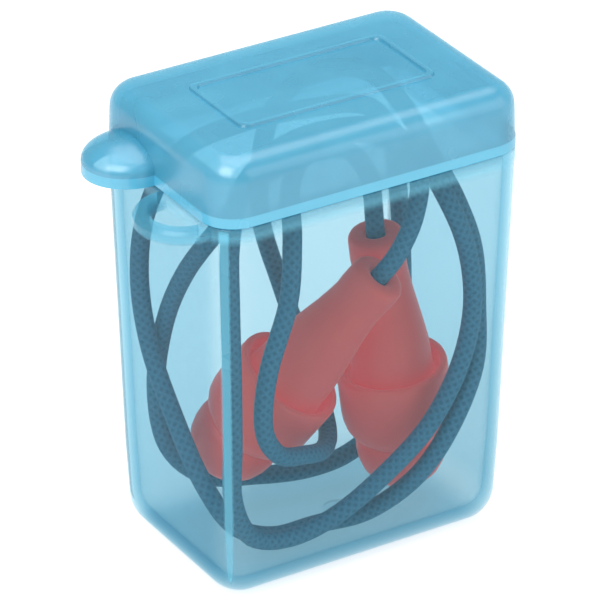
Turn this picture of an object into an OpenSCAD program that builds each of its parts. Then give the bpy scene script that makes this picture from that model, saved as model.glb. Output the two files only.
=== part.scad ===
// Corded ear plugs in a flip-lid case. Millimetres, +Z up.
// The origin is the centre of the flat bottom of the case.

/* [Case] */

// Outer length of the case at its rim
case_l = 36.8; // [30:0.1:46]
// Outer width of the case at its rim
case_w = 25; // [20:0.1:32]
// Height of the box from its bottom to its rim
body_h = 44.5; // [36:0.1:56]
// Height of the lid above the rim
lid_h = 7.1; // [6:0.1:10]
// Outer radius of the upright corners
corner_r = 3.8; // [2.6:0.1:5]
// Radius around the bottom of the box
foot_r = 3.9; // [2.4:0.1:5]
// Lean of each wall from the rim down to the bottom
draft = 1.1; // [0:0.1:2]
// Wall thickness of the box
wall = 1.2; // [0.8:0.1:1.8]
// Floor thickness of the box
floor_t = 1.4; // [0.8:0.1:2.4]

/* [Lid and neck] */

// Wall thickness of the lid
lid_wall = 1.1; // [0.8:0.1:1.6]
// Thickness of the top of the lid
lid_top = 1.1; // [0.8:0.1:1.6]
// Radius around the top of the lid
lid_edge_r = 2.6; // [1.4:0.1:3.4]
// Gap between the neck and the lid
neck_gap = 0.3; // [0.2:0.05:0.6]
// Wall thickness of the neck
neck_wall = 1.1; // [0.8:0.1:1.6]
// Height of the neck above the rim
neck_h = 4.6; // [3:0.1:5.4]
// Lean of the neck over its height
neck_lean = 0.28; // [0:0.01:0.5]
// Depth of the thick band inside the box under the rim
band_d = 1.5; // [0.5:0.1:3]
// Length of the snap bead on the front of the neck
bead_l = 8; // [4:0.5:14]

/* [Hinge] */

// Distance from the wall to the fold line
hinge_out = 0.6; // [0.5:0.05:1.2]
// Width of the hinge web
web_w = 14; // [8:0.5:18]
// Thickness of the hinge web
web_t = 0.35; // [0.25:0.05:0.6]

/* [Thumb tab] */

// Reach of the thumb tab from the lid
tab_reach = 5.2; // [3.5:0.1:7]
// Half width of the thumb tab
tab_half = 4.7; // [3.5:0.1:6]
// Sideways place of the thumb tab
tab_y = 5; // [2:0.1:6]
// Height of the upright edge of the thumb tab
tab_edge = 1.3; // [0.8:0.1:2]
// Height of the rounded top of the thumb tab
tab_rise = 2.3; // [1:0.1:3]

/* [Eyelet] */

// Outer radius of the half-round eyelet
eye_r = 5; // [4:0.1:6]
// Radius of the opening in the eyelet
eye_hole_r = 3.2; // [2.4:0.1:4]
// Sideways place of the eyelet
eye_y = -5.2; // [-6.5:0.1:-2]
// Thickness of the eyelet
eye_t = 1.6; // [1.2:0.1:2.4]
// Drop of the eyelet under the rim
eye_drop = 0.2; // [0.1:0.1:1]

/* [Ear plug] */

// Outer radius of the wide flange
flange_r = 5.9; // [5:0.1:6.6]
// Thickness of the flange skirt
skirt_t = 0.8; // [0.6:0.1:1.2]
// Radius of the tip flange
tip_r = 4.8; // [4:0.1:5.4]
// Radius of the stem at the cord end
stem_r = 2.95; // [2.4:0.05:3.2]
// Radius of the cord hole in the stem
hole_r = 1.1; // [1.05:0.05:1.4]
// Depth of the cord hole in the stem
hole_d = 3; // [2:0.5:6]

/* [Cord] */

// Diameter of the cord
cord_d = 2; // [1.4:0.1:2.1]

/* [Hidden] */

soft_blue = [0.45, 0.72, 0.84, 0.55];
plug_red = [0.86, 0.3, 0.28];
cord_blue = [0.28, 0.42, 0.5];

thin = 0.01;
fit_gap = 0.05;
corner_fn = 32;
half_l = case_l / 2;
half_w = case_w / 2;
lid_z = body_h + fit_gap;
lid_rise = lid_h - fit_gap;
lid_lean = 0.2;
neck_in = lid_wall + neck_gap;
pivot_x = half_l + hinge_out;
bead_r = 0.5;
bead_out = 0.15;
bead_up = 1.2;

// The cord was laid for a case of these sizes and follows the case if it changes
laid_l = 36.8;
laid_w = 25;
laid_h = 51.6;

function in_case(p) = [
    p[0] * case_l / laid_l,
    p[1] * case_w / laid_w,
    p[2] * (body_h + lid_h) / laid_h
];

// Cord end of each ear plug, and how far it leans and turns
plug_a_at = in_case([3.9, -7.2, 31.5]);
plug_a_lean = 36;
plug_a_turn = -47;
plug_b_at = in_case([6.9, -1.3, 33.1]);
plug_b_lean = 7.5;
plug_b_turn = 180;

function plug_dir(lean, turn) = [sin(lean) * cos(turn), sin(lean) * sin(turn), cos(lean)];

cord_start = plug_a_at - hole_d * plug_dir(plug_a_lean, plug_a_turn);
cord_end = plug_b_at - hole_d * plug_dir(plug_b_lean, plug_b_turn);

// Places the cord passes on its way round the case, from one plug to the other
cord_lay = [
    [5.2, -8.5, 34.4], [6.6, -9.2, 38.5], [7.2, -8.9, 43], [5.4, -7.2, 47.4],
    [0, -6.6, 49.3], [-7, -6.2, 49], [-12.4, -7, 46], [-14.6, -8.2, 41],
    [-15.2, -9.1, 34], [-15.1, -9.2, 26], [-15, -9.1, 18], [-14.6, -8.4, 11],
    [-12, -7.6, 5.4], [-7, -7.3, 3.6], [-1.5, -7.8, 5], [4, -8.6, 8.8],
    [8.8, -9.3, 13.5], [12.2, -9.5, 19.5], [13.6, -9.6, 26], [13, -9.5, 32.5],
    [11, -9, 38.5], [8.8, -6.4, 43.4], [3.6, -4.4, 46.6], [-2.4, -4.4, 46.8],
    [-6.4, -6.4, 44.6], [-7.6, -8.6, 39.6], [-8.6, -9.5, 33], [-11, -9.5, 25.5],
    [-11.4, -9.2, 19], [-9, -8.2, 14.6], [-4.8, -6.4, 12.4], [-0.6, -3.6, 10.6],
    [2.4, 1, 10.8], [3.2, 6.2, 15.5], [2, 9.3, 23], [-0.4, 9.6, 32],
    [-0.8, 8.4, 41], [0.8, 7.6, 46.2], [4.4, 6.2, 49.1], [8.4, 2.8, 49.4],
    [9.6, -2, 47.4], [10.7, -5.6, 43.2], [12.8, -7.4, 38], [14.8, -7.7, 32],
    [15.4, -7.7, 25], [14.6, -8.7, 18.5], [11.4, -9.3, 12.4], [7.8, -8.4, 7],
    [3, -6.4, 3.2], [-2.5, -5, 2.6], [-8, -5, 2.9], [-12.4, -4.6, 5.4],
    [-14.6, -2.2, 10], [-15, 2.4, 15], [-15.4, 7, 22], [-15.6, 8.6, 30],
    [-15, 7.6, 38], [-11.8, 6.4, 44], [-5.6, 4.6, 46.4], [2, 3.8, 46.4],
    [9, 4.8, 44.6], [13.4, 6.6, 40], [15.4, 7.9, 33], [15.7, 7.4, 26],
    [15.3, 6.4, 19], [14.6, 5.4, 12], [12.4, 5, 6.2], [8, 5, 3.2],
    [2.5, 5, 2.7], [-3, 6.6, 2.8], [-8.5, 7.6, 4], [-12.6, 8.4, 8.4],
    [-13.6, 9, 15.5], [-13.2, 7.8, 23.5], [-12.8, 4.2, 31], [-11.4, -0.4, 38],
    [-7, -1.6, 43.2], [-0.6, -1.2, 44.2], [3.4, -1.2, 43.4], [6.1, -1.3, 39.5]
];
cord_path = concat(
    [cord_start, plug_a_at],
    [for (p = cord_lay) in_case(p)],
    [plug_b_at, cord_end]
);
cord_n = len(cord_path);
cord_sides = 8;

function unit(v) = v / norm(v);
function path_dir(i) = unit(cord_path[min(i + 1, cord_n - 1)] - cord_path[max(i - 1, 0)]);
function square_on(v, d) = unit(v - (v * d) * d);

// Direction of the first corner of each ring, carried along without twist
cord_side = [
    for (i = 0, s = square_on([0, 1, 0], path_dir(0)); i < cord_n;
         i = i + 1, s = i < cord_n ? square_on(s, path_dir(i)) : s) s
];
cord_points = [
    for (i = [0:cord_n - 1])
        let (s = cord_side[i], t = cross(path_dir(i), s))
            for (k = [0:cord_sides - 1])
                let (a = k * 360 / cord_sides)
                    cord_path[i] + cord_d / 2 * (cos(a) * s + sin(a) * t)
];
cord_faces = concat(
    [[for (k = [0:cord_sides - 1]) k]],
    [[for (k = [cord_sides - 1:-1:0]) (cord_n - 1) * cord_sides + k]],
    [
        for (i = [0:cord_n - 2])
            for (k = [0:cord_sides - 1])
                let (a = i * cord_sides + k, b = i * cord_sides + (k + 1) % cord_sides)
                    [a, a + cord_sides, b + cord_sides, b]
    ]
);

// Same shape at the four upright corners of a rectangle
module at_corners(x, y) {
    for (sx = [-1, 1]) {
        for (sy = [-1, 1]) {
            translate([sx * x, sy * y, 0]) children();
        }
    }
}

module foot_corner(r) {
    rotate_extrude($fn = corner_fn) {
        polygon(concat([[0, 0]], [for (a = [-90:11.25:0]) [r * cos(a), r + r * sin(a)]], [[0, r]]));
    }
}

module lid_corner(r, h, edge) {
    rotate_extrude($fn = corner_fn) {
        polygon(concat(
            [[0, 0], [r, 0]],
            [for (a = [0:11.25:90]) [r - lid_lean - edge + edge * cos(a), h - edge + edge * sin(a)]],
            [[0, h]]
        ));
    }
}

// Box form that leans in towards its rounded foot
module box_form(inset, from_z, to_z) {
    foot = foot_r - inset;
    lean = draft * to_z / body_h - draft;
    hull() {
        translate([0, 0, from_z]) at_corners(half_l - draft - foot_r, half_w - draft - foot_r)
            foot_corner(foot);
        translate([0, 0, to_z - thin]) at_corners(half_l + lean - corner_r, half_w + lean - corner_r)
            cylinder(r = corner_r - inset, h = thin, $fn = corner_fn);
    }
}

// Upright rounded block centred on the case, leaning in towards its top
module neck_form(inset, from_z, to_z, lean) {
    r = corner_r - inset;
    hull() {
        translate([0, 0, from_z]) at_corners(half_l - corner_r, half_w - corner_r)
            cylinder(r1 = r, r2 = r - lean, h = to_z - from_z, $fn = corner_fn);
    }
}

module lid_form(inset, rise) {
    hull() {
        translate([0, 0, lid_z]) at_corners(half_l - corner_r, half_w - corner_r)
            lid_corner(corner_r - inset, rise, lid_edge_r - inset);
    }
}

module eyelet() {
    top = body_h - eye_drop;
    translate([-half_l + fit_gap, eye_y, top - eye_t]) {
        difference() {
            cylinder(r = eye_r, h = eye_t, $fn = 96);
            translate([0, 0, -1]) cylinder(r = eye_hole_r, h = eye_t + 2, $fn = 96);
            translate([0, -eye_r - 1, -1]) cube([eye_r + 1, 2 * eye_r + 2, eye_t + 2]);
        }
    }
}

module web(from_z) {
    reach = hinge_out - fit_gap + wall / 2;
    translate([half_l - wall / 2, -web_w / 2, from_z]) cube([reach, web_w, web_t]);
}

module snap_bead() {
    translate([-half_l + neck_in - bead_out + bead_r, bead_l / 2, body_h + bead_up])
        rotate([90, 0, 0]) cylinder(r = bead_r, h = bead_l, $fn = 48);
}

module case_box() {
    color(soft_blue)
    difference() {
        union() {
            box_form(0, 0, body_h);
            neck_form(neck_in, body_h - band_d, body_h + neck_h, neck_lean);
            snap_bead();
            eyelet();
            web(body_h - fit_gap - web_t);
        }
        box_form(wall, floor_t, body_h - band_d);
        neck_form(neck_in + neck_wall, body_h - band_d - thin, body_h + neck_h + 1, 0);
    }
}

module tab_form(inset) {
    rx = tab_reach - inset;
    ry = tab_half - inset;
    scale([rx, ry, 1]) cylinder(r = 1, h = tab_edge, $fn = 64);
    translate([0, 0, tab_edge]) scale([rx, ry, tab_rise - inset + thin]) intersection() {
        sphere(r = 1, $fn = 48);
        translate([-2, -2, -thin]) cube([4, 4, 2]);
    }
}

module thumb_tab() {
    translate([-half_l + fit_gap, tab_y, lid_z]) {
        difference() {
            tab_form(0);
            translate([0, 0, -thin]) tab_form(lid_wall);
            translate([0, -tab_half - 1, -1]) cube([tab_reach + 1, 2 * tab_half + 2, lid_h + 2]);
        }
    }
}

module case_lid() {
    color(soft_blue) {
        difference() {
            union() {
                lid_form(0, lid_rise);
                web(lid_z);
            }
            translate([0, 0, -thin]) lid_form(lid_wall, lid_rise - lid_top + thin);
        }
        thumb_tab();
    }
}

// Ear plug standing on its tip: the cord end is at the origin, the tip is below
module ear_plug() {
    difference() {
        rotate_extrude($fn = 96) {
            polygon([
                [0, 0], [stem_r - 0.55, 0], [stem_r - 0.12, -0.25], [stem_r, -0.8],
                [stem_r, -3], [stem_r - 0.1, -4.2], [stem_r + 0.35, -8], [4.2, -13.5],
                [4.35, -16.8], [flange_r - skirt_t - 0.2, -17.4], [flange_r - skirt_t, -16.3],
                [flange_r - 0.1, -16.3], [flange_r, -17.2], [flange_r, -21.6], [flange_r - 0.25, -23],
                [flange_r - 0.9, -24.3], [flange_r - 1.7, -25], [tip_r - 0.3, -25.1],
                [tip_r, -25.5], [tip_r, -26.6], [tip_r - 0.3, -28], [tip_r - 1.1, -29.4],
                [tip_r - 2.3, -30.5], [tip_r - 3.6, -31.1], [0, -31.3]
            ]);
        }
        translate([0, 0, -hole_d]) cylinder(r = hole_r, h = hole_d + 1, $fn = 64);
    }
}

module ear_plug_a() {
    color(plug_red) translate(plug_a_at) rotate([0, plug_a_lean, plug_a_turn]) ear_plug();
}

module ear_plug_b() {
    color(plug_red) translate(plug_b_at) rotate([0, plug_b_lean, plug_b_turn]) ear_plug();
}

module cord() {
    color(cord_blue) polyhedron(points = cord_points, faces = cord_faces, convexity = 10);
}

case_box();
case_lid();
ear_plug_a();
ear_plug_b();
cord();
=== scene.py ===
import math

import bmesh
import bpy
from mathutils import Matrix, Vector


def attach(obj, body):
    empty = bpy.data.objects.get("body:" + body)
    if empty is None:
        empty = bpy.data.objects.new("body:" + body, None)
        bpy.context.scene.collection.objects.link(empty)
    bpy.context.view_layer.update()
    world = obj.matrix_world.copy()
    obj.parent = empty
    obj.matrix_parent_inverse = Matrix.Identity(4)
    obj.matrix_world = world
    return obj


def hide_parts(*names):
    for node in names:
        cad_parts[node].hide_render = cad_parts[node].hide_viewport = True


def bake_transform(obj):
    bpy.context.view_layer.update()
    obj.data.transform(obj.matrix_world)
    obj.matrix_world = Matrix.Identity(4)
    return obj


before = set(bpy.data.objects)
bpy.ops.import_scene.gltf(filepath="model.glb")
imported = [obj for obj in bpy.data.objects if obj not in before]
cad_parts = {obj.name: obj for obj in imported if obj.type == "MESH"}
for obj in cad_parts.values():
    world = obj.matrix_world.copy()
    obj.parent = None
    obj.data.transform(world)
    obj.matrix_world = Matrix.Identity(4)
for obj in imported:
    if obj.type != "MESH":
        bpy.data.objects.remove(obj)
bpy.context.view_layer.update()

MM = 0.001

# ---------------------------------------------------------------- sizes, mm

case_l, case_w, body_h, lid_h = 36.8, 25.0, 44.5, 7.1
half_l, half_w = case_l / 2, case_w / 2
corner_r, foot_r, draft = 3.8, 3.9, 1.1
wall, floor_t = 1.2, 1.4
lid_wall, lid_top, lid_edge_r, lid_lean = 1.1, 1.1, 2.6, 0.2
neck_in, neck_wall, neck_h, neck_lean, band_d = 1.4, 1.1, 4.6, 0.28, 1.5
lid_z = body_h + 0.05
tab_at, tab_half, tab_skirt, tab_wall = 5.0, (5.2, 4.7, 2.3), 1.3, 1.1
eyelet_at, eyelet_t = -5.2, 1.6
bead_r, bead_l = 0.5, 8
fold_r, web_t, web_half = 0.62, 0.3, 7
gate_at = (2.0, -2.0)

plug_a_at, plug_a_lean, plug_a_turn = (3.9, -7.2, 31.5), 36, -47
plug_b_at, plug_b_lean, plug_b_turn = (6.9, -1.3, 33.1), 7.5, 180
hole_d = 3.0
cord_r = 1.0

cord_lay = [
    (5.2, -8.5, 34.4), (6.6, -9.2, 38.5), (7.2, -8.9, 43), (5.4, -7.2, 47.4),
    (0, -6.6, 49.3), (-7, -6.2, 49), (-12.4, -7, 46), (-14.6, -8.2, 41),
    (-15.2, -9.1, 34), (-15.1, -9.2, 26), (-15, -9.1, 18), (-14.6, -8.4, 11),
    (-12, -7.6, 5.4), (-7, -7.3, 3.6), (-1.5, -7.8, 5), (4, -8.6, 8.8),
    (8.8, -9.3, 13.5), (12.2, -9.5, 19.5), (13.6, -9.6, 26), (13, -9.5, 32.5),
    (11, -9, 38.5), (8.8, -6.4, 43.4), (3.6, -4.4, 46.6), (-2.4, -4.4, 46.8),
    (-6.4, -6.4, 44.6), (-7.6, -8.6, 39.6), (-8.6, -9.5, 33), (-11, -9.5, 25.5),
    (-11.4, -9.2, 19), (-9, -8.2, 14.6), (-4.8, -6.4, 12.4), (-0.6, -3.6, 10.6),
    (2.4, 1, 10.8), (3.2, 6.2, 15.5), (2, 9.3, 23), (-0.4, 9.6, 32),
    (-0.8, 8.4, 41), (0.8, 7.6, 46.2), (4.4, 6.2, 49.1), (8.4, 2.8, 49.4),
    (9.6, -2, 47.4), (10.7, -5.6, 43.2), (12.8, -7.4, 38), (14.8, -7.7, 32),
    (15.4, -7.7, 25), (14.6, -8.7, 18.5), (11.4, -9.3, 12.4), (7.8, -8.4, 7),
    (3, -6.4, 3.2), (-2.5, -5, 2.6), (-8, -5, 2.9), (-12.4, -4.6, 5.4),
    (-14.6, -2.2, 10), (-15, 2.4, 15), (-15.4, 7, 22), (-15.6, 8.6, 30),
    (-15, 7.6, 38), (-11.8, 6.4, 44), (-5.6, 4.6, 46.4), (2, 3.8, 46.4),
    (9, 4.8, 44.6), (13.4, 6.6, 40), (15.4, 7.9, 33), (15.7, 7.4, 26),
    (15.3, 6.4, 19), (14.6, 5.4, 12), (12.4, 5, 6.2), (8, 5, 3.2),
    (2.5, 5, 2.7), (-3, 6.6, 2.8), (-8.5, 7.6, 4), (-12.6, 8.4, 8.4),
    (-13.6, 9, 15.5), (-13.2, 7.8, 23.5), (-12.8, 4.2, 31), (-11.4, -0.4, 38),
    (-7, -1.6, 43.2), (-0.6, -1.2, 44.2), (3.4, -1.2, 43.4), (6.1, -1.3, 39.5),
]


# ---------------------------------------------------------------- helpers

def plug_matrix(at, lean, turn):
    return (Matrix.Translation(Vector(at))
            @ Matrix.Rotation(math.radians(turn), 4, "Z")
            @ Matrix.Rotation(math.radians(lean), 4, "Y"))


def add_object(name, bm, smooth_angle=35):
    bm.normal_update()
    mesh = bpy.data.meshes.new(name)
    bmesh.ops.transform(bm, matrix=Matrix.Scale(MM, 4), verts=bm.verts)
    bm.to_mesh(mesh)
    bm.free()
    obj = bpy.data.objects.new(name, mesh)
    bpy.context.scene.collection.objects.link(obj)
    mesh.shade_smooth()
    mesh.set_sharp_from_angle(angle=math.radians(smooth_angle))
    return obj


def apply_modifiers(obj):
    bpy.context.view_layer.update()
    depsgraph = bpy.context.evaluated_depsgraph_get()
    mesh = bpy.data.meshes.new_from_object(obj.evaluated_get(depsgraph))
    obj.modifiers.clear()
    obj.data = mesh
    return obj


def weighted(obj):
    mod = obj.modifiers.new("even_normals", "WEIGHTED_NORMAL")
    mod.weight = 80
    mod.keep_sharp = True
    return obj


CORNER_STEPS = 10


def by_angle(verts):
    return sorted(verts, key=lambda v: math.atan2(v.co.y, v.co.x) % (2 * math.pi))


def rounded_loop(bm):
    """A closed ring with CORNER_STEPS + 1 points at each corner."""
    made = bmesh.ops.create_circle(bm, cap_ends=False, segments=4 * (CORNER_STEPS + 1), radius=1)
    return by_angle(made["verts"])


def place_loop(loop, half_x, half_y, r, z):
    """Puts a ring's points on a rounded rectangle at height z."""
    r = max(r, 0.02)
    for i, v in enumerate(loop):
        quarter, k = divmod(i, CORNER_STEPS + 1)
        a = math.pi / 2 * (quarter + k / CORNER_STEPS)
        sx = 1 if quarter in (0, 3) else -1
        sy = 1 if quarter in (0, 1) else -1
        v.co = Vector((sx * (half_x - r) + r * math.cos(a), sy * (half_y - r) + r * math.sin(a), z))


def edges_between(loop):
    n = len(loop)
    found = []
    for i in range(n):
        a, b = loop[i], loop[(i + 1) % n]
        for e in a.link_edges:
            if e.other_vert(a) == b:
                found.append(e)
                break
    return found


def next_loop(bm, loop):
    """Extrudes a ring into a wall and returns the new ring in the same order."""
    edges = edges_between(loop)
    made = bmesh.ops.extrude_edge_only(bm, edges=edges)
    new = {v for v in made["geom"] if isinstance(v, bmesh.types.BMVert)}
    out = []
    for v in loop:
        for e in v.link_edges:
            w = e.other_vert(v)
            if w in new:
                out.append(w)
                break
    return out


def shell(steps):
    """A closed wall made of rings: each step is (half_x, half_y, r, z)."""
    bm = bmesh.new()
    loop = rounded_loop(bm)
    place_loop(loop, *steps[0])
    first = loop
    for s in steps[1:]:
        loop = next_loop(bm, loop)
        place_loop(loop, *s)
    for ring in (first, loop):
        bmesh.ops.contextual_create(bm, geom=edges_between(ring))
    bmesh.ops.recalc_face_normals(bm, faces=bm.faces)
    return bm


def arc(r, start, end, steps):
    """Points of an arc about the origin, angles in degrees."""
    return [(r * math.cos(math.radians(start + (end - start) * i / steps)),
             r * math.sin(math.radians(start + (end - start) * i / steps)))
            for i in range(steps + 1)]


def unite(obj, *others):
    for other in others:
        mod = obj.modifiers.new("join", "BOOLEAN")
        mod.operation = "UNION"
        mod.solver = "EXACT"
        mod.use_self = True
        mod.object = other
    apply_modifiers(obj)
    for other in others:
        mesh = other.data
        bpy.data.objects.remove(other)
        bpy.data.meshes.remove(mesh)
    return obj


# ---------------------------------------------------------------- camera

AIM = Vector((0, 0, 28.6)) * MM
AZ, EL = math.radians(31.5), math.radians(28.8)
back = Vector((-math.sin(AZ) * math.cos(EL), -math.cos(AZ) * math.cos(EL), math.sin(EL)))
right = Vector((math.cos(AZ), -math.sin(AZ), 0))
up = back.cross(right)
cam_data = bpy.data.cameras.new("camera")
cam_data.sensor_width = 36
cam_data.lens = 312.8
cam_data.clip_start = 0.01
cam_data.clip_end = 20
camera = bpy.data.objects.new("camera", cam_data)
bpy.context.scene.collection.objects.link(camera)
camera.location = AIM + 0.539 * back - 0.00122 * right - 0.00199 * up
camera.rotation_euler = back.to_track_quat("Z", "Y").to_euler()
bpy.context.scene.camera = camera


# ---------------------------------------------------------------- shader tools

class Socket:
    """A shader value that can be written in plain sums."""

    def __init__(self, tree, out):
        self.tree, self.out = tree, out

    def math(self, op, *values, clamp=False):
        node = self.tree.nodes.new("ShaderNodeMath")
        node.operation = op
        node.use_clamp = clamp
        for i, v in enumerate(values):
            put(self.tree, node.inputs[i], v)
        return Socket(self.tree, node.outputs[0])

    def __add__(self, o): return self.math("ADD", self, o)
    def __radd__(self, o): return self.math("ADD", o, self)
    def __sub__(self, o): return self.math("SUBTRACT", self, o)
    def __rsub__(self, o): return self.math("SUBTRACT", o, self)
    def __mul__(self, o): return self.math("MULTIPLY", self, o)
    def __rmul__(self, o): return self.math("MULTIPLY", o, self)
    def __truediv__(self, o): return self.math("DIVIDE", self, o)
    def __rtruediv__(self, o): return self.math("DIVIDE", o, self)

    def power(self, o): return self.math("POWER", self, o)
    def least(self, o): return self.math("MINIMUM", self, o)
    def most(self, o): return self.math("MAXIMUM", self, o)
    def absolute(self): return self.math("ABSOLUTE", self)
    def sine(self): return self.math("SINE", self)
    def clamped(self): return self.math("ADD", self, 0.0, clamp=True)


def put(tree, socket, value):
    if isinstance(value, Socket):
        tree.links.new(value.out, socket)
    elif isinstance(value, bpy.types.NodeSocket):
        tree.links.new(value, socket)
    elif isinstance(value, (tuple, list)) and len(value) == 3 and socket.type == "RGBA":
        socket.default_value = (*value, 1)
    else:
        socket.default_value = value


class Material:
    def __init__(self, name):
        self.mat = bpy.data.materials.new(name)
        self.mat.use_nodes = True
        self.tree = self.mat.node_tree
        self.tree.nodes.clear()

    def node(self, kind, settings=None, values=None, output=0):
        node = self.tree.nodes.new(kind)
        for key, value in (settings or {}).items():
            setattr(node, key, value)
        for key, value in (values or {}).items():
            put(self.tree, node.inputs[key], value)
        self.last = node
        return Socket(self.tree, node.outputs[output])

    def place(self):
        return self.node("ShaderNodeTexCoord", output="Object")

    def split(self, vector):
        self.node("ShaderNodeSeparateXYZ", values={0: vector})
        return [Socket(self.tree, o) for o in self.last.outputs]

    def mix_colour(self, factor, a, b, blend="MIX"):
        node = self.tree.nodes.new("ShaderNodeMix")
        node.data_type = "RGBA"
        node.blend_type = blend
        put(self.tree, node.inputs[0], factor)
        put(self.tree, node.inputs[6], a)
        put(self.tree, node.inputs[7], b)
        return Socket(self.tree, node.outputs[2])

    def noise(self, where, scale, detail=2.0, rough=0.5):
        return self.node("ShaderNodeTexNoise", {"noise_dimensions": "3D"},
                         {"Vector": where, "Scale": scale, "Detail": detail, "Roughness": rough})

    def bump(self, height, strength, distance):
        return self.node("ShaderNodeBump", None,
                         {"Height": height, "Strength": strength, "Distance": distance})

    def shader(self, values):
        return self.node("ShaderNodeBsdfPrincipled", None, values)

    def finish(self, surface, volume=None):
        out = self.tree.nodes.new("ShaderNodeOutputMaterial")
        put(self.tree, out.inputs["Surface"], surface)
        if volume is not None:
            put(self.tree, out.inputs["Volume"], volume)
        return self.mat


def spread(socket, low, high):
    """0 to 1 as the value goes from low to high."""
    return ((socket - low) / (high - low)).clamped()


# ---------------------------------------------------------------- materials

def case_material(name, tints, clear_tint, share, rim_share, painted_corner_share, painted_lip_share, gloss,
                  depth_tint, density):
    """Light blue moulded polypropylene, clear enough to see through and deeper where it is thick.

    The shares are how much milky frost shows: all over, round the rim, up the corners and along the lid's
    lower lip; the corner and lip shares are painted highlight, set by position, standing in for light
    refracted through the thick rounded corners and the lip's edge.
    """
    m = Material(name)
    where = m.place()
    haze = m.noise(where, 90, 3, 0.6)
    grain = m.noise(where, 2200, 2, 0.6)
    rough = 0.20 + haze * 0.12
    bump = m.bump(grain, 0.12, 0.00001)
    body = m.shader({"Base Color": m.mix_colour(haze, *tints), "Roughness": rough, "Normal": bump,
                     "IOR": 1.49, "Specular IOR Level": 0.5})
    clear = m.node("ShaderNodeBsdfTransparent", None, {"Color": clear_tint})
    edge = m.node("ShaderNodeLayerWeight", None, {"Blend": 0.5}, output="Facing")
    across, deep, height = m.split(where)
    thick = spread(height, 0.0426, 0.0434) * (1.0 - spread(height, 0.0436, 0.0440) * 0.25)
    # Painted highlight up the vertical corners: extra frost set by position stands in for light refracted
    # through the thick rounded corners.
    lean = (1.0 - height / (body_h * MM)).most(0.0) * (draft * MM)
    from_corner = ((across.absolute() + (lean - (half_l - 1.6) * MM))
                   .least(deep.absolute() + (lean - (half_w - 1.6) * MM)))
    corner = spread(from_corner, 0.0, 0.0002) * (1.0 - spread(height, 0.0440, 0.0444)) * painted_corner_share
    # Painted highlight along the lid's lower lip: extra frost set by height stands in for the light line
    # its edge shows by refraction.
    band = (1.0 - spread(height, (lid_z + 1.12) * MM, (lid_z + 1.2) * MM)) * painted_lip_share
    frost_and_painted_bands = (share * (0.8 + haze * 0.4) + thick * rim_share + corner + band
             + edge.power(3.0) * 0.05).clamped()
    mixed = m.node("ShaderNodeMixShader", None, {0: frost_and_painted_bands, 1: clear, 2: body})
    shine = m.shader({"Base Color": (1.0, 1.0, 1.0), "Metallic": 1.0, "Roughness": rough, "Normal": bump})
    glance = edge.power(5.0) * 0.10 + gloss
    glossed = m.node("ShaderNodeMixShader", None, {0: glance, 1: mixed, 2: shine})
    depth = m.node("ShaderNodeVolumeAbsorption", None, {"Color": depth_tint, "Density": density})
    return m.finish(glossed, depth)


def plug_material():
    """Soft red-orange elastomer, with a faint painted emission standing in for light scattered inside it.
    """
    m = Material("plug_elastomer")
    where = m.place()
    mottle = m.noise(where, 220, 3, 0.6)
    fine = m.noise(where, 3200, 2, 0.6)
    colour = m.mix_colour(mottle, (0.80, 0.035, 0.022), (0.92, 0.075, 0.04))
    bump = m.bump(fine, 0.25, 0.00003)
    # Painted light: a faint red emission stands in for light scattered inside the soft elastomer; the
    # plugs are no lamp.
    painted_glow = m.mix_colour(mottle, (1.0, 0.10, 0.05), (1.0, 0.16, 0.08))
    body = m.shader({"Base Color": colour, "Roughness": 0.42 + mottle * 0.16, "Normal": bump,
                     "IOR": 1.43, "Sheen Weight": 0.1, "Emission Color": painted_glow, "Emission Strength": 0.18})
    return m.finish(body)


def cord_material():
    """Dark blue-grey braided cord."""
    m = Material("cord_braid")
    uv = m.node("ShaderNodeUVMap", {"uv_map": "run"})
    u, v, _ = m.split(uv)
    right_hand = ((u * 6400.0) + (v * 6.2832 * 6.0)).sine()
    left_hand = ((u * 6400.0) - (v * 6.2832 * 6.0)).sine()
    weave = right_hand.most(left_hand) * 0.5 + 0.5
    colour = m.mix_colour(weave, (0.035, 0.10, 0.15), (0.075, 0.185, 0.26))
    bump = m.bump(weave, 0.5, 0.00008)
    body = m.shader({"Base Color": colour, "Roughness": 0.5 + weave * 0.15, "Normal": bump,
                     "IOR": 1.45})
    return m.finish(body)


def floor_material():
    m = Material("floor_paper")
    where = m.place()
    tone = m.noise(where, 30, 3, 0.6)
    colour = m.mix_colour(tone, (0.50, 0.50, 0.50), (0.52, 0.52, 0.52))
    return m.finish(m.shader({"Base Color": colour, "Roughness": 0.9, "Emission Color": (1.0, 1.0, 1.0),
                              "Emission Strength": 0.68}))


# ---------------------------------------------------------------- cord

def smooth_route(points):
    """The even curve through the points, with the same number of steps between each pair."""
    out = []
    n = len(points)
    for i in range(n - 1):
        p0, p1 = points[max(i - 1, 0)], points[i]
        p2, p3 = points[i + 1], points[min(i + 2, n - 1)]
        for k in range(6):
            t = k / 6
            out.append(0.5 * ((2 * p1) + (p2 - p0) * t + (2 * p0 - 5 * p1 + 4 * p2 - p3) * t * t
                              + (3 * p1 - p0 - 3 * p2 + p3) * t * t * t))
    out.append(points[-1].copy())
    return out


a_up = plug_matrix(plug_a_at, plug_a_lean, plug_a_turn).to_3x3() @ Vector((0, 0, 1))
b_up = plug_matrix(plug_b_at, plug_b_lean, plug_b_turn).to_3x3() @ Vector((0, 0, 1))
stops = ([Vector(plug_a_at) - hole_d * a_up, Vector(plug_a_at)] + [Vector(p) for p in cord_lay]
         + [Vector(plug_b_at), Vector(plug_b_at) - hole_d * b_up])
route = smooth_route(stops)
cord_length = sum((b - a).length for a, b in zip(route, route[1:]))


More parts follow.
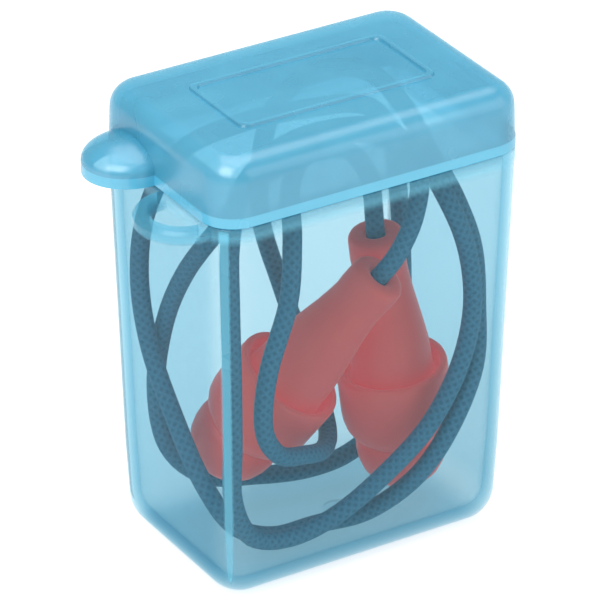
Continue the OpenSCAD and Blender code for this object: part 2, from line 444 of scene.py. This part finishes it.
def make_cord():
    sides = 14
    bm = bmesh.new()
    uv = bm.loops.layers.uv.new("run")
    made = bmesh.ops.create_circle(bm, cap_ends=False, segments=sides, radius=cord_r)
    ring = by_angle(made["verts"])
    side = None
    run = 0.0
    rings = []
    for i, p in enumerate(route):
        d = (route[min(i + 1, len(route) - 1)] - route[max(i - 1, 0)]).normalized()
        side = d.orthogonal() if side is None else side - d * side.dot(d)
        side.normalize()
        other = d.cross(side)
        if i:
            ring = next_loop(bm, ring)
            run += (p - route[i - 1]).length
        for k, v in enumerate(ring):
            a = 2 * math.pi * k / sides
            v.co = p + cord_r * (math.cos(a) * side + math.sin(a) * other)
        rings.append((ring, run))
    where = {v: (s, k / sides) for r, s in rings for k, v in enumerate(r)}
    for f in bm.faces:
        rounds = [where[l.vert][1] for l in f.loops]
        wraps = max(rounds) - min(rounds) > 0.5
        for l in f.loops:
            s, k = where[l.vert]
            l[uv].uv = (s * MM, k + 1 if wraps and k < 0.5 else k)
    bmesh.ops.contextual_create(bm, geom=edges_between(rings[0][0]))
    bmesh.ops.contextual_create(bm, geom=edges_between(rings[-1][0]))
    bmesh.ops.recalc_face_normals(bm, faces=bm.faces)
    obj = add_object("plug_cord", bm, 60)
    obj.data.materials.append(cord_material())
    return obj


cord = make_cord()
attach(cord, "case")
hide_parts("cord")
[c * MM for c in stops[0]]
[[c * MM for c in p] for p in route]


# ---------------------------------------------------------------- case

def body_half(z):
    """Outer half sizes of the box at a height."""
    lean = draft * (1 - z / body_h)
    return half_l - lean, half_w - lean


def foot_steps(inset, base):
    """Rings from the flat bottom round the foot, going up."""
    r = foot_r - inset
    hx, hy = half_l - draft - inset, half_w - draft - inset
    steps = []
    for c, s in arc(r, -90, 0, 8):
        steps.append((hx - r + c, hy - r + c, c, base + r + s))
    return steps


def make_box():
    steps = foot_steps(0, 0)
    steps[0] = (*steps[0][:2], 0.02, steps[0][3])
    for z in (10.0, 25.0, 40.0):
        hx, hy = body_half(z)
        steps.append((hx, hy, foot_r - (foot_r - corner_r) * z / body_h, z))
    hx, hy = body_half(body_h)
    for c, s in arc(0.25, 0, 90, 3):
        steps.append((hx - 0.25 + c, hy - 0.25 + c, corner_r - 0.25 + c, body_h - 0.25 + s))
    nx, ny = half_l - neck_in, half_w - neck_in
    steps.append((nx + 0.15, ny + 0.15, corner_r - neck_in + 0.15, body_h))
    steps.append((nx, ny, corner_r - neck_in, body_h + 0.15))
    top = body_h + neck_h
    for c, s in arc(0.3, 0, 90, 3):
        o = neck_lean + 0.3 - c
        steps.append((nx - o, ny - o, corner_r - neck_in - o, top - 0.3 + s))
    ix, iy, ir = nx - neck_wall, ny - neck_wall, corner_r - neck_in - neck_wall
    for c, s in arc(0.25, 90, 0, 3):
        o = -0.25 + c
        steps.append((ix - o, iy - o, ir - o, top - 0.25 + s))
    low = body_h - band_d
    steps.append((ix, iy, ir, low + 0.2))
    steps.append((ix + 0.2, iy + 0.2, ir + 0.2, low))
    bx, by = body_half(low)
    steps.append((bx - wall - 0.2, by - wall - 0.2, corner_r - wall - 0.2, low))
    steps.append((bx - wall, by - wall, corner_r - wall, low - 0.25))
    for z in (40.0, 25.0, 10.0):
        hx, hy = body_half(z)
        steps.append((hx - wall, hy - wall, corner_r - wall, z))
    steps.extend(reversed(foot_steps(wall, floor_t)))
    bm = shell(steps)
    box = add_object("case_shell", bm)

    ring = bmesh.new()
    made = bmesh.ops.create_circle(ring, cap_ends=False, segments=96, radius=1)
    section = [(5.0, 0.35), (5.0, 1.25), (4.65, eyelet_t), (3.5, eyelet_t),
               (3.2, 1.3), (3.2, 0.3), (3.5, 0.0), (4.65, 0.0)]
    loop = by_angle(made["verts"])
    first = loop
    for i, (r, z) in enumerate(section):
        if i:
            loop = next_loop(ring, loop)
        for k, v in enumerate(loop):
            a = 2 * math.pi * k / 96
            v.co = Vector((r * math.cos(a), r * math.sin(a), z))
    bmesh.ops.bridge_loops(ring, edges=edges_between(first) + edges_between(loop))
    bmesh.ops.bisect_plane(ring, geom=ring.verts[:] + ring.edges[:] + ring.faces[:],
                           plane_co=(0.5, 0, 0), plane_no=(1, 0, 0), clear_outer=True)
    bmesh.ops.holes_fill(ring, edges=[e for e in ring.edges if e.is_boundary])
    bmesh.ops.translate(ring, vec=(-half_l, eyelet_at, body_h - 0.2 - eyelet_t), verts=ring.verts)
    bmesh.ops.recalc_face_normals(ring, faces=ring.faces)
    eyelet = add_object("eyelet_ring", ring)

    mark = bmesh.new()
    bmesh.ops.create_cone(mark, cap_ends=True, segments=48, radius1=1.7, radius2=1.55, depth=0.7,
                          matrix=Matrix.Translation((*gate_at, floor_t)))
    mark = add_object("gate_mark", mark)

    bead = bmesh.new()
    bmesh.ops.create_cone(bead, cap_ends=True, segments=24, radius1=bead_r, radius2=bead_r, depth=bead_l,
                          matrix=Matrix.Translation((-half_l + neck_in - 0.15 + bead_r, 0, body_h + 1.2))
                          @ Matrix.Rotation(math.radians(90), 4, "X"))
    bead = add_object("snap_bead", bead)
    unite(box, eyelet, bead, mark)
    box.data.shade_smooth()
    box.data.set_sharp_from_angle(angle=math.radians(35))
    return weighted(box)


def make_lid():
    hx, hy, r = half_l, half_w, corner_r
    steps = [(hx - 0.1, hy - 0.1, r - 0.1, lid_z), (hx, hy, r, lid_z + 0.1)]
    steps.append((hx - 0.03, hy - 0.03, r - 0.03, lid_z + 1.1))
    steps.append((hx - 0.1, hy - 0.1, r - 0.1, lid_z + 1.2))
    rise = lid_h - 0.05
    e = lid_edge_r
    for c, s in arc(e, 0, 90, 8):
        o = lid_lean + e - c
        steps.append((hx - o, hy - o, r - o, lid_z + rise - e + s))
    top = lid_z + rise
    for px, py, dz in ((11.6, 5.6, 0.0), (11.5, 5.5, 0.25), (11.0, 5.0, 0.25), (10.9, 4.9, 0.0)):
        steps.append((px, py, 1.0, top + dz))
    inner = []
    hx, hy, r, e = hx - lid_wall, hy - lid_wall, r - lid_wall, e - lid_wall
    rise -= lid_top
    for c, s in arc(e, 90, 0, 6):
        o = lid_lean + e - c
        inner.append((hx - o, hy - o, r - o, lid_z + rise - e + s))
    inner.append((hx, hy, r, lid_z + 0.15))
    inner.append((hx + 0.1, hy + 0.1, r + 0.1, lid_z))
    bm = shell(list(reversed(steps)) + list(reversed(inner)))
    lid = add_object("lid_shell", bm)

    tab = bmesh.new()
    bmesh.ops.create_uvsphere(tab, u_segments=64, v_segments=32, radius=1)
    bmesh.ops.bisect_plane(tab, geom=tab.verts[:] + tab.edges[:] + tab.faces[:],
                           plane_co=(0, 0, 0), plane_no=(0, 0, -1), clear_outer=True)
    bmesh.ops.scale(tab, vec=tab_half, verts=tab.verts)
    rim = [e for e in tab.edges if e.is_boundary]
    made = bmesh.ops.extrude_edge_only(tab, edges=rim)
    skirt = [v for v in made["geom"] if isinstance(v, bmesh.types.BMVert)]
    bmesh.ops.translate(tab, vec=(0, 0, -tab_skirt), verts=skirt)
    bmesh.ops.recalc_face_normals(tab, faces=tab.faces)
    bmesh.ops.solidify(tab, geom=tab.faces[:], thickness=tab_wall)
    bmesh.ops.recalc_face_normals(tab, faces=tab.faces)
    bmesh.ops.bisect_plane(tab, geom=tab.verts[:] + tab.edges[:] + tab.faces[:],
                           plane_co=(0.4, 0, 0), plane_no=(1, 0, 0), clear_outer=True)
    bmesh.ops.holes_fill(tab, edges=[e for e in tab.edges if e.is_boundary])
    bmesh.ops.translate(tab, vec=(-half_l, tab_at, lid_z + tab_skirt), verts=tab.verts)
    bmesh.ops.recalc_face_normals(tab, faces=tab.faces)
    tab = add_object("thumb_tab", tab)
    unite(lid, tab)
    lid.data.shade_smooth()
    lid.data.set_sharp_from_angle(angle=math.radians(35))
    return weighted(lid)


box = make_box()
lid = make_lid()
box_plastic = case_material(
    "box_plastic", tints=((0.10, 0.46, 0.62), (0.13, 0.50, 0.68)), clear_tint=(0.985, 0.985, 0.985),
    share=0.05, rim_share=0.36, painted_corner_share=0.45, painted_lip_share=0.0, gloss=0.012,
    depth_tint=(0.37, 0.70, 0.80), density=440.0)
lid_plastic = case_material(
    "lid_plastic", tints=((0.08, 0.44, 0.64), (0.11, 0.50, 0.70)), clear_tint=(0.98, 0.98, 0.98),
    share=0.52, rim_share=0.0, painted_corner_share=0.0, painted_lip_share=0.30, gloss=0.04,
    depth_tint=(0.17, 0.60, 0.75), density=600.0)
for obj, body, node, plastic in ((box, "case", "case_box", box_plastic),
                                 (lid, "lid", "case_lid", lid_plastic)):
    obj.data.materials.clear()
    obj.data.materials.append(plastic)
    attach(obj, body)
    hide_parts(node)


def make_hinge():
    """The thin folded strip that joins the box and the lid."""
    bm = bmesh.new()
    bmesh.ops.create_grid(bm, x_segments=24, y_segments=14, size=1)
    for v in bm.verts:
        t = v.co.x
        a = t * math.pi / 2
        out = fold_r * math.cos(a) ** 0.7 if abs(t) < 0.999 else 0
        v.co = Vector((half_l - 0.25 + out, v.co.y * web_half, body_h + fold_r * math.sin(a)))
    bmesh.ops.recalc_face_normals(bm, faces=bm.faces)
    bmesh.ops.solidify(bm, geom=bm.faces[:], thickness=web_t)
    bmesh.ops.recalc_face_normals(bm, faces=bm.faces)
    return add_object("hinge_web", bm, 50)


hinge = make_hinge()
hinge.data.materials.append(box_plastic)
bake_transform(hinge)


# ---------------------------------------------------------------- ear plugs

PLUG_OUTER = [
    (0.0, -3.0), (1.1, -3.0), (1.1, -0.35), (1.4, -0.08), (1.8, 0.0), (2.3, -0.02), (2.7, -0.2),
    (2.9, -0.55), (2.95, -1.0), (2.95, -3.0), (2.87, -4.0), (2.95, -5.2), (3.2, -7.4),
    (3.6, -9.8), (3.95, -12.0), (4.2, -13.8), (4.3, -15.6), (4.35, -16.9), (4.5, -17.5),
    (4.8, -17.55), (5.02, -17.2), (5.1, -16.6), (5.2, -16.35), (5.5, -16.27), (5.78, -16.35),
    (5.88, -16.7), (5.9, -17.4), (5.9, -19.5), (5.9, -21.4), (5.82, -22.4), (5.6, -23.3),
    (5.1, -24.2), (4.5, -24.75), (4.3, -24.95), (4.32, -25.1), (4.6, -25.3), (4.76, -25.7),
    (4.8, -26.4), (4.7, -27.4), (4.35, -28.6), (3.75, -29.6), (2.9, -30.45), (1.9, -31.0),
    (0.9, -31.25), (0.0, -31.3),
]


def make_plug(name, at, lean, turn):
    bm = bmesh.new()
    verts = [bm.verts.new((r, 0, z)) for r, z in PLUG_OUTER]
    edges = [bm.edges.new((a, b)) for a, b in zip(verts, verts[1:])]
    bmesh.ops.spin(bm, geom=verts + edges, cent=(0, 0, 0), axis=(0, 0, 1), angle=2 * math.pi,
                   steps=72, use_merge=True)
    bmesh.ops.remove_doubles(bm, verts=bm.verts, dist=0.0005)
    bmesh.ops.recalc_face_normals(bm, faces=bm.faces)
    bmesh.ops.transform(bm, matrix=plug_matrix(at, lean, turn), verts=bm.verts)
    obj = add_object(name, bm, 60)
    return obj


plug_skin = plug_material()
for name, node, at, lean, turn in (
        ("plug_front", "ear_plug_a", plug_a_at, plug_a_lean, plug_a_turn),
        ("plug_rear", "ear_plug_b", plug_b_at, plug_b_lean, plug_b_turn)):
    plug = make_plug(name, at, lean, turn)
    plug.data.materials.append(plug_skin)
    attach(plug, "case")
    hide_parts(node)


# ---------------------------------------------------------------- floor and light

floor = bmesh.new()
bmesh.ops.create_grid(floor, x_segments=2, y_segments=2, size=1500)
bmesh.ops.translate(floor, vec=(0, 0, -0.02), verts=floor.verts)
floor = add_object("studio_floor", floor)
floor.data.materials.append(floor_material())

bpy.context.scene.view_settings.view_transform = "Standard"
world = bpy.data.worlds.new("studio")
bpy.context.scene.world = world
world.use_nodes = True
world.node_tree.nodes["Background"].inputs["Color"].default_value = (1, 1, 1, 1)
world.node_tree.nodes["Background"].inputs["Strength"].default_value = 0.56


def area_light(name, where, aim, size, power):
    data = bpy.data.lights.new(name, "AREA")
    data.shape = "RECTANGLE"
    data.size, data.size_y = size
    data.energy = power
    lamp = bpy.data.objects.new(name, data)
    bpy.context.scene.collection.objects.link(lamp)
    lamp.location = where
    lamp.rotation_euler = (Vector(where) - Vector(aim)).to_track_quat("Z", "Y").to_euler()


area_light("key_light", (-0.35, -0.2, 0.5), (0, 0, 0.025), (0.4, 0.4), 2.7)
area_light("top_light", (0.1, 0.1, 0.65), (0, 0, 0.025), (0.6, 0.6), 2.7)
area_light("fill_light", (0.45, -0.45, 0.3), (0, 0, 0.025), (0.5, 0.5), 1.2)

bpy.context.view_layer.update()
